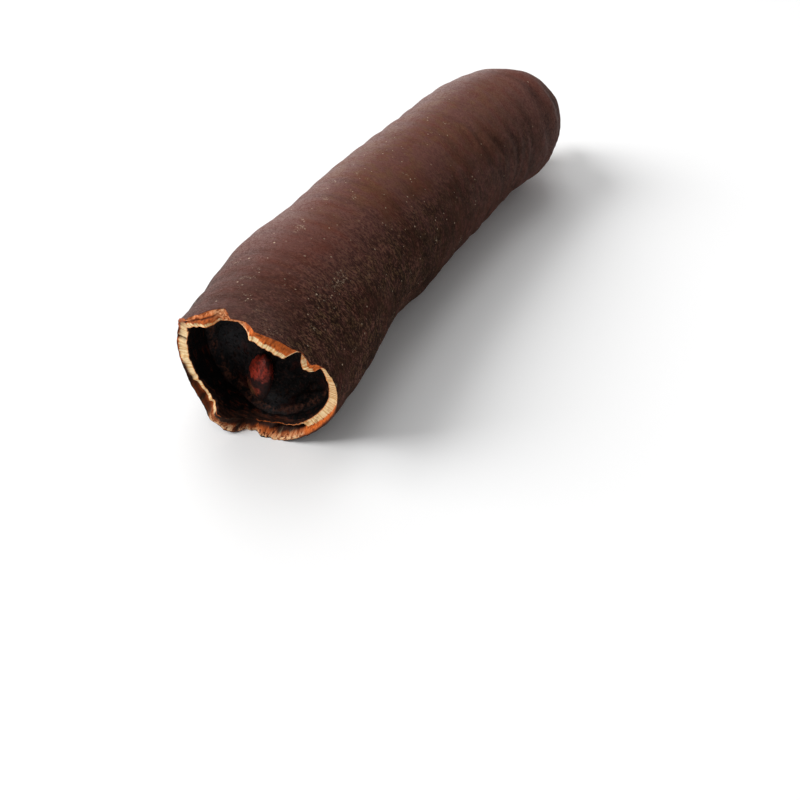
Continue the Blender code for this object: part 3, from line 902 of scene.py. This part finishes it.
def tear_setback(depth, angle, relief):
    """How far back the torn wall lies, at a share of its thickness and at an angle."""
    degrees = np.degrees(angle)
    bark = torn_edge(BARK_EDGE_MM, degrees) * MM
    wood = torn_edge(WOOD_EDGE_MM, degrees) * MM
    share = torn_edge(FIBRE_SHARE, degrees)
    fray = torn_edge(FRAY, degrees)
    slope = ramp(depth, 0.0, np.maximum(share, 0.25))
    jag = noise_at(face_on(POD_RADIUS, angle, 0.01), 0.0011)
    jag = (jag + 0.5 * noise_at(face_on(POD_RADIUS, angle), 0.0004)) * relief.tear * (0.6 + fray)
    inner = noise_at(face_on(POD_RADIUS, angle, 0.05), 0.0009) * (0.6 + fray)
    inner = relief.tear * (inner + 1.1 * noise_at(face_on(POD_RADIUS, angle, 0.09), 0.00055))
    groove = band_share(GROOVES, degrees, depth)
    groove += CRACK_DEPTH * crack_share(degrees) * math.sin(math.pi * depth)
    return bark + jag + (wood + inner - bark - jag) * slope + groove


def bark_numbers(angle, station, outside):
    """What the bark's finish follows at each point: its weathering and the painted shade of its low side,
    its coat and painted sheen, its flecks, and the painted shade of its hollows.
    """
    from_side = facing_share(angle, ROUGH_SIDE)
    by_stalk = ramp(station, 0.096, 0.104)
    by_station = 0.66 + 0.34 * ramp(station, 0.075, 0.035) - 0.22 * ramp(station, 0.078, 0.092)
    # Painted shade: the low side is darker, as shade falls there; also weathering by the mouth, on the far
    # side and by the stalk
    weathered_and_shaded = ramp(facing_share(angle, SHADED_WEATHERED_SIDE), 0.28, 0.95) * by_station
    weathered_and_shaded = weathered_and_shaded + 0.45 * ramp(station, 0.024, 0.006) + 0.80 * ramp(from_side, -0.30, -0.85)
    worked = ramp(from_side, 0.08, 0.98) * (0.16 + 0.84 * ramp(station, 0.060, 0.016))
    worked = worked + 0.22 * ramp(from_side, -0.1, -0.8)
    # Painted shade: the bark is darker in the hollows of its folds and between its rings
    hollow_shade = np.zeros(angle.shape)
    places = angle[outside], station[outside]
    hollow_shade[outside] = -fold_share(*places) - ring_share(*places)
    far_share = ramp(station, 0.045, 0.090) * (1 - by_stalk)
    # This share sets both the coat's weight and where the painted sheen lies
    satin_and_painted_sheen = 0.50 * ramp(from_side, 0.42, -0.30) * (0.70 + 0.30 * ramp(station, 0.005, 0.030))
    satin_and_painted_sheen = satin_and_painted_sheen + 0.16 * far_share
    degrees = np.degrees(angle)
    sheen = bell(degrees_apart(degrees, MOUTH_SHEEN_SIDE), MOUTH_SHEEN_SPREAD)
    satin_and_painted_sheen = satin_and_painted_sheen + 0.22 * sheen * ramp(station, 0.010, 0.003)
    rubbed = 0.15 + 0.85 * bell(degrees_apart(degrees, RUBBED_SIDE), RUBBED_SPREAD)
    return {
        "weathered_and_shaded": np.clip(0.06 + weathered_and_shaded + 0.8 * by_stalk, 0, 1),
        "worked": np.clip(0.10 + worked + 0.6 * by_stalk, 0, 1),
        "hollow_shade": hollow_shade,
        "flecked": ramp(station, 0.080, 0.050) * ramp(from_side, -0.95, -0.40),
        "satin_and_painted_sheen": np.clip(satin_and_painted_sheen, 0, 1),
        "rubbed": rubbed * ramp(station, 0.018, 0.040) * ramp(station, 0.098, 0.070),
    }


def wall_numbers(angle, depth):
    """What the torn wall's finish follows at each point: its bands, its fibre and how frayed it is."""
    degrees = np.degrees(angle)
    # The dark bands and cracks: dark brown fibre, and painted shade in the grooves and cracks
    dark = band_share(DARK_BANDS, degrees, depth) + crack_share(degrees)
    return {
        "dark_band": np.clip(dark, 0, 1),
        "pale_band": np.clip(band_share(PALE_BANDS, degrees, depth), 0, 1),
        "across": depth + 0 * angle,
        "fibre_share": torn_edge(FIBRE_SHARE, degrees),
        "fray": torn_edge(FRAY, degrees),
    }


def build_shell(look, relief):
    """The shell's fine surface, with its bark, torn mouth and bore."""
    rows = shell_rows()
    angle = angles_round(len(rows), relief.columns)
    degrees = np.degrees(angle)
    radius, station, depth, zone = (np.broadcast_to(rows[:, [n]], angle.shape) for n in range(4))
    torn = zone == TORN
    bore = zone == BORE
    outside = (zone == BARK) & (depth == 0)

    # The rows by the mouth are drawn back until the foremost ones lie on the tear
    setback = np.stack([tear_setback(share, angle[0], relief) for share in rows[:, 2]])
    by_mouth = (station < MOUTH_ZONE) & ((zone != BARK) | (depth == 0))
    moved = np.where(by_mouth, setback + station * (MOUTH_ZONE - setback) / MOUTH_ZONE, station)
    threads = np.zeros(angle.shape)
    threads[torn] = noise_at(face_on(radius, angle)[torn], 0.00055)
    fray = 0.10 + torn_edge(FRAY, degrees)
    moved = moved + torn * threads * relief.fray * fray * np.sin(math.pi * depth)

    raised = np.array(radius, float)
    places = angle[outside], moved[outside]
    raised[outside] += bark_relief(*places)
    raised[outside] += fine_relief(*places, relief) * np.clip((NECK_LIP - places[1]) / LIP_FADE, 0.2, 1)

    # The neck's torn lip
    lip = outside & (moved > NECK_LIP - LIP_ZONE)
    rag = noise_at(face_on(POD_RADIUS, angle[lip], moved[lip]) * np.array([1.0, 1.0, 0.25]), 0.0016)
    near_lip = ramp(moved[lip], NECK_LIP - LIP_ZONE, NECK_LIP)
    raised[lip] += relief.collar * 0.9 * (rag + 0.25) * near_lip
    moved[lip] += relief.collar * rag * near_lip

    # The bore's two ridges, and the film of pulp on it
    fade = np.clip((RIDGE_END - moved) / RIDGE_FADE, 0, 1)
    raised = raised - bore * fade * RIDGE_INSIDE * suture_share(degrees)
    smear = np.zeros(angle.shape)
    smear[bore] = noise_at(face_on(POD_RADIUS, angle[bore], moved[bore]), 0.0022)
    bare = torn_edge(BARE_MM, degrees) * MM
    film = bore * ramp(moved - setback + 0.0007 * smear, 0.6 * bare, 1.4 * bare)
    open_cell = bore & (moved < FIRST_SEPTUM)
    raised[open_cell] -= FILM_THICKNESS * film[open_cell] * (1 + smear[open_cell])

    start, end = (line_point(at) for at in (SOCKET_FLOOR, DOME_START + INNER_DOME_LENGTH))
    mesh = turned_mesh("pod_shell_fine", on_pod(raised, angle, moved), rows[:, 3], start, end)
    below = POD_RADIUS - WALL * depth
    give_places(mesh, face_on(below, angle, moved))
    give_places(mesh, face_on(POD_RADIUS, angle, WALL * depth), "wall_place")
    lip_share = ramp(moved, NECK_LIP - 0.0016, NECK_LIP - 0.0004)
    numbers = {
        **bark_numbers(angle, moved, outside), **wall_numbers(angle, depth),
        "torn": np.where(zone == BARK, lip_share, 0), "film": film,
    }
    for name, values in numbers.items():
        give_numbers(mesh, name, values)
    finishes = [bark_finish(look), torn_finish(look), bore_finish(look)]
    link_piece("pod_shell_fine", mesh, finishes, "bark", "pod_shell")


def heap_share(across, degrees, offset, spread):
    """1 at an angle and a distance from the pod's middle, falling away over a spread."""
    turn = math.radians(degrees)
    away = (across[..., 0] - math.cos(turn) * offset, across[..., 1] - math.sin(turn) * offset)
    return bell(np.hypot(*away), spread)


def build_pulp(look):
    """The pulp on the first cross wall, run out against the bore, with its heaps and small lumps."""
    back = FIRST_SEPTUM - SEPTUM_RIM / 2 - CLEARANCE
    front = back - PULP_THICKNESS
    reach = float(outer_radius(back)) - WALL
    inner = reach - CLEARANCE
    back_shares = [0.0001, 0.5, inner / reach]
    shares = np.concatenate([back_shares, np.linspace(1.0, 0.004, PULP_STEPS)])
    angle = angles_round(len(shares), PULP_COLUMNS)
    radius = shares[:, None] * reach + 0 * angle
    facing = np.arange(len(shares))[:, None] >= len(back_shares)
    across = face_on(radius, angle)
    rise = PULP_ROUGH * noise_at(across, PULP_LUMP_SIZE)
    for degrees, offset, height, spread in PULP_HEAPS:
        rise = rise + height * heap_share(across, degrees, offset, spread)
    low_side = 0.5 - 0.5 * across[..., 1] / reach
    rise = rise + PULP_FILLET * low_side * (radius / reach) ** 6
    small = noise_at(across + 0.03, 0.0008)
    film = noise_at(across + 0.07, 0.0016)
    rise = rise + PULP_GRAIN * small + PULP_CREASE * (1 - 2 * np.abs(film))
    rise = rise + PULP_RIM * ramp(radius / reach, 0.90, 1.0) ** 2
    station = np.where(facing, front - rise, back)
    points = on_pod(radius, angle, station)
    mesh = disc_mesh("pulp_fine", points)
    give_places(mesh, face_on(radius, angle, station))
    # Where the pulp's painted highlights lie
    give_numbers(mesh, "painted_highlight", sum(heap_share(across, *patch) for patch in PULP_HIGHLIGHTS))
    ragged = 0.025 * noise_at(across, 0.0035)
    give_numbers(mesh, "skin", facing * bell(radius / reach + ragged - 0.945, 0.022))
    link_piece("pulp_fine", mesh, [pulp_finish(look)], "pulp_black", "pulp")


def build_septum(number, material):
    """A cross wall: a papery disc, thicker at its rim, and wrinkled from its middle."""
    node = f"septum_{number:02d}"
    station = FIRST_SEPTUM + (number - 1) * RING_PITCH
    reach = float(outer_radius(station + SEPTUM_RIM / 2)) - WALL - CLEARANCE
    shares = np.concatenate([np.linspace(0.03, 1.0, SEPTUM_STEPS), np.linspace(1.0, 0.03, SEPTUM_STEPS)])
    side = np.repeat([-1.0, 1.0], SEPTUM_STEPS)[:, None]
    angle = angles_round(len(shares), SEPTUM_COLUMNS)
    radius = shares[:, None] * reach + 0 * angle
    half = SEPTUM_MIDDLE / 2 + (SEPTUM_RIM - SEPTUM_MIDDLE) / 2 * ramp(radius / reach, 0.7, 1.0)
    spot = face_on(radius, angle, number * 0.01)
    spokes = noise_at(spot / radius[..., None] * 0.004, 0.001)
    lumps = noise_at(spot, 0.0017)
    inside = 1 - ramp(radius / reach, 0.75, 1.0)
    height = side * half + inside * (SEPTUM_SPOKES * spokes + SEPTUM_LUMPS * lumps)
    mesh = disc_mesh(node + "_fine", on_pod(radius, angle, station + height))
    give_places(mesh, face_on(radius, angle, station + height))
    link_piece(node + "_fine", mesh, [material], "pulp_black", node)


def seed_axes(node):
    """A seed's middle, and its own directions: along its length, through it, and across its width."""
    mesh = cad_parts[node].data
    spots = np.unique(np.round([vertex.co[:] for vertex in mesh.vertices], 7), axis=0)
    low, high = spots.min(0), spots.max(0)
    middle = (low + high) / 2
    _, _, ways = np.linalg.svd(spots - spots.mean(0), full_matrices=False)
    long_way, wide_way, thin_way = ways
    reach = [np.ptp((spots - middle) @ way) / 2 for way in (long_way, thin_way, wide_way)]
    along = (spots - middle) @ long_way
    centre = middle + long_way * (along.max() + along.min()) / 2
    aside = np.abs((spots - centre) @ wide_way)
    if aside[along > 0].mean() > aside[along < 0].mean():
        long_way = -long_way
    return centre, (long_way, thin_way, wide_way), reach


def crusted(height, edge):
    """How thick the dried pulp is on the open cell's seed: across its middle and round its edge."""
    low = 0.40 * edge * ramp(height, 0.2, -0.2) + 0.30 * ramp(height, -0.50, -0.80)
    return 0.70 * bell(height + 0.02, 0.13) + low + 0.26 * edge + 0.22


def build_seed(number, material):
    """A seed: a flat oval with a rounded rim, a beak at its narrow end and a fine line on each face."""
    node = f"seed_{number:02d}"
    centre, (long_way, thin_way, wide_way), (half_long, half_thick, half_wide) = seed_axes(node)
    lift = np.linspace(-0.5, 0.5, SEED_ROWS + 2)[1:-1, None] * math.pi
    angle = angles_round(SEED_ROWS, SEED_COLUMNS)
    out = np.cos(lift) ** 0.8
    x = out * np.cos(angle)
    z = out * np.sin(angle) * (1 - 0.16 * x)
    y = np.sign(lift) * np.abs(np.sin(lift)) ** 1.15 + 0 * angle
    line = bell(np.hypot(x * 0.9, z * 0.7) - 0.42, 0.05)
    y = y * (1 - 0.05 * line)
    beak = 0.05 * bell(x - 1, 0.12) * bell(z, 0.2)
    spots = np.stack([x + beak, y, z], -1)
    points = (
        centre
        + spots[..., :1] * half_long * long_way
        + spots[..., 1:2] * half_thick * thin_way
        + spots[..., 2:] * half_wide * wide_way
    )
    start = (centre - half_thick * thin_way).tolist()
    end = (centre + half_thick * thin_way).tolist()
    mesh = turned_mesh(node + "_fine", points, np.zeros(SEED_ROWS), start, end)
    give_places(mesh, spots * np.array([half_long, half_thick, half_wide]) + number * 0.02)
    edge = ramp(out + 0 * angle, 0.75, 1.0)
    height = (points[..., 2] - centre[2]) / half_long
    in_pulp = number == 1
    give_numbers(mesh, "rim", ramp(height, -0.05, -0.35) if in_pulp else edge)
    give_numbers(mesh, "crust", np.clip(crusted(height, edge) if in_pulp else 0 * x, 0, 1))
    link_piece(node + "_fine", mesh, [material], "seed_coat", node)


def build_stalk(look):
    """The stalk's stub: a bundle of strands that swells past the neck and ends frayed."""
    root = SOCKET_FLOOR + CLEARANCE
    free = STALK_END - NECK_LIP
    line = [
        (0.86, root), (1.0, root + CLEARANCE), (0.98, NECK_LIP), (1.12, NECK_LIP + 0.3 * free),
        (1.02, NECK_LIP + 0.65 * free), (0.92, STALK_END),
    ]
    side = evenly([(STALK_RADIUS * share, station) for share, station in line], STALK_STEP)
    drops = (
        (0.84, 0.00), (0.76, 0.05), (0.66, 0.02), (0.56, 0.10), (0.45, 0.06), (0.34, 0.14), (0.22, 0.08),
        (0.1, 0.12),
    )
    top = [(STALK_RADIUS * share, STALK_END - drop * free) for share, drop in drops]
    rows = np.array([*side, *top])
    angle = angles_round(len(rows), STALK_COLUMNS)
    radius, station = (rows[:, [n]] + 0 * angle for n in range(2))
    out = ramp(station, NECK_LIP - 0.0002, STALK_END)
    strands = noise_at(face_on(STALK_RADIUS, angle), 0.00022)
    bunches = noise_at(face_on(STALK_RADIUS, angle) + 0.01, 0.0008)
    tips = noise_at(face_on(radius, angle) + 0.02, 0.00030)
    raised = radius * (1 + (0.07 * strands + 0.12 * bunches) * out)
    end_zone = ramp(station, STALK_END - 0.35 * free, STALK_END)
    moved = station + end_zone * (0.0005 * tips + 0.0005 * bunches)
    points = on_pod(raised, angle, moved)
    end = points[-1].mean(0).tolist()
    mesh = turned_mesh("stalk_fine", points, np.zeros(len(rows)), line_point(root), end)
    give_places(mesh, face_on(radius, angle, station))
    link_piece("stalk_fine", mesh, [stalk_finish(look)], "stalk_wood", "stalk")


def add_area_light(name, place, aim, power):
    """A soft square light that faces a point."""
    light = bpy.data.lights.new(name, "AREA")
    light.shape = "SQUARE"
    light.size = LAMP_SIZE
    light.energy = power
    lamp = bpy.data.objects.new(name, light)
    bpy.context.scene.collection.objects.link(lamp)
    lamp.location = place
    lamp.visible_camera = False
    lamp.rotation_euler = (Vector(aim) - Vector(place)).to_track_quat("-Z", "Y").to_euler()


def build_stage(stage):
    """The pale floor, the soft lights and the camera."""
    scene = bpy.context.scene
    mesh = bpy.data.meshes.new("floor")
    work = bmesh.new()
    bmesh.ops.create_grid(work, x_segments=8, y_segments=8, size=stage.floor_side / 2)
    work.to_mesh(mesh)
    work.free()
    mesh.materials.append(floor_finish())
    floor = bpy.data.objects.new("floor", mesh)
    scene.collection.objects.link(floor)
    floor.location.z = CAD_BOX[0].z
    middle = (CAD_BOX[0] + CAD_BOX[1]) / 2
    add_area_light("key", middle + Vector((-0.90, -0.55, 0.85)), middle, stage.key)
    add_area_light("top", middle + Vector((-0.30, 0.35, 1.20)), middle, stage.top)
    add_area_light("back", middle + Vector((-0.85, 0.95, 0.42)), middle, stage.back)
    world = bpy.data.worlds.new("sky")
    world.use_nodes = True
    sky = world.node_tree.nodes["Background"]
    sky.inputs["Color"].default_value = (1.0, 1.0, 1.0, 1.0)
    sky.inputs["Strength"].default_value = stage.sky
    scene.world = world
    scene.view_settings.view_transform = "Standard"
    camera = bpy.data.cameras.new("camera")
    camera.sensor_width = 36.0
    camera.lens = stage.lens
    camera.clip_start = 0.005
    camera.clip_end = 50.0
    eye = bpy.data.objects.new("camera", camera)
    scene.collection.objects.link(eye)
    eye.location = stage.camera_place
    eye.rotation_euler = (math.pi / 2 - stage.camera_dip, 0.0, stage.camera_yaw)
    scene.camera = eye


class POD_OT_shell(bpy.types.Operator):
    """Builds the pod's shell, with its bark, torn mouth and bore."""

    bl_idname = "pod.shell"
    bl_label = "Shell"

    def execute(self, context):
        build_shell(context.scene.pod_finish, context.scene.pod_relief)
        return {"FINISHED"}


class POD_OT_pulp(bpy.types.Operator):
    """Builds the pulp that is left in the open cell."""

    bl_idname = "pod.pulp"
    bl_label = "Pulp"

    def execute(self, context):
        build_pulp(context.scene.pod_finish)
        return {"FINISHED"}


class POD_OT_septa(bpy.types.Operator):
    """Builds the cross walls between the pod's cells."""

    bl_idname = "pod.septa"
    bl_label = "Cross walls"

    def execute(self, context):
        material = pulp_finish(context.scene.pod_finish)
        for number in range(1, count_nodes("septum_") + 1):
            build_septum(number, material)
        return {"FINISHED"}


class POD_OT_seeds(bpy.types.Operator):
    """Builds the pod's seeds."""

    bl_idname = "pod.seeds"
    bl_label = "Seeds"

    def execute(self, context):
        material = seed_finish(context.scene.pod_finish)
        for number in range(1, count_nodes("seed_") + 1):
            build_seed(number, material)
        return {"FINISHED"}


class POD_OT_stalk(bpy.types.Operator):
    """Builds the stub of the stalk."""

    bl_idname = "pod.stalk"
    bl_label = "Stalk"

    def execute(self, context):
        build_stalk(context.scene.pod_finish)
        return {"FINISHED"}


class POD_OT_stage(bpy.types.Operator):
    """Sets out the floor, the lights and the camera."""

    bl_idname = "pod.stage"
    bl_label = "Stage"

    def execute(self, context):
        build_stage(context.scene.pod_stage)
        return {"FINISHED"}


class POD_PT_sidebar(bpy.types.Panel):
    """The pod's pieces and settings."""

    bl_idname = "POD_PT_sidebar"
    bl_label = "Golden shower pod"
    bl_space_type = "VIEW_3D"
    bl_region_type = "UI"
    bl_category = "Pod"

    def draw(self, context):
        for operator in OPERATORS:
            self.layout.operator(operator.bl_idname)
        for group in (context.scene.pod_finish, context.scene.pod_relief, context.scene.pod_stage):
            box = self.layout.box()
            for name in group.__annotations__:
                box.prop(group, name)


OPERATORS = (POD_OT_shell, POD_OT_pulp, POD_OT_septa, POD_OT_seeds, POD_OT_stalk, POD_OT_stage)
CLASSES = (PodFinish, PodRelief, StageSetting, *OPERATORS, POD_PT_sidebar)


def count_nodes(beginning):
    """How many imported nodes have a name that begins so."""
    return sum(name.startswith(beginning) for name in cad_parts)


def register():
    """Makes the classes and settings known to Blender."""
    for cls in CLASSES:
        bpy.utils.register_class(cls)
    bpy.types.Scene.pod_finish = PointerProperty(type=PodFinish)
    bpy.types.Scene.pod_relief = PointerProperty(type=PodRelief)
    bpy.types.Scene.pod_stage = PointerProperty(type=StageSetting)


def unregister():
    """Takes the classes and settings away again."""
    del bpy.types.Scene.pod_stage
    del bpy.types.Scene.pod_relief
    del bpy.types.Scene.pod_finish
    for cls in reversed(CLASSES):
        bpy.utils.unregister_class(cls)


def main():
    """Builds every piece and the stage."""
    register()
    bpy.ops.pod.shell()
    bpy.ops.pod.pulp()
    bpy.ops.pod.septa()
    bpy.ops.pod.seeds()
    bpy.ops.pod.stalk()
    bpy.ops.pod.stage()
    bpy.context.view_layer.update()


if __name__ == "__main__":
    main()
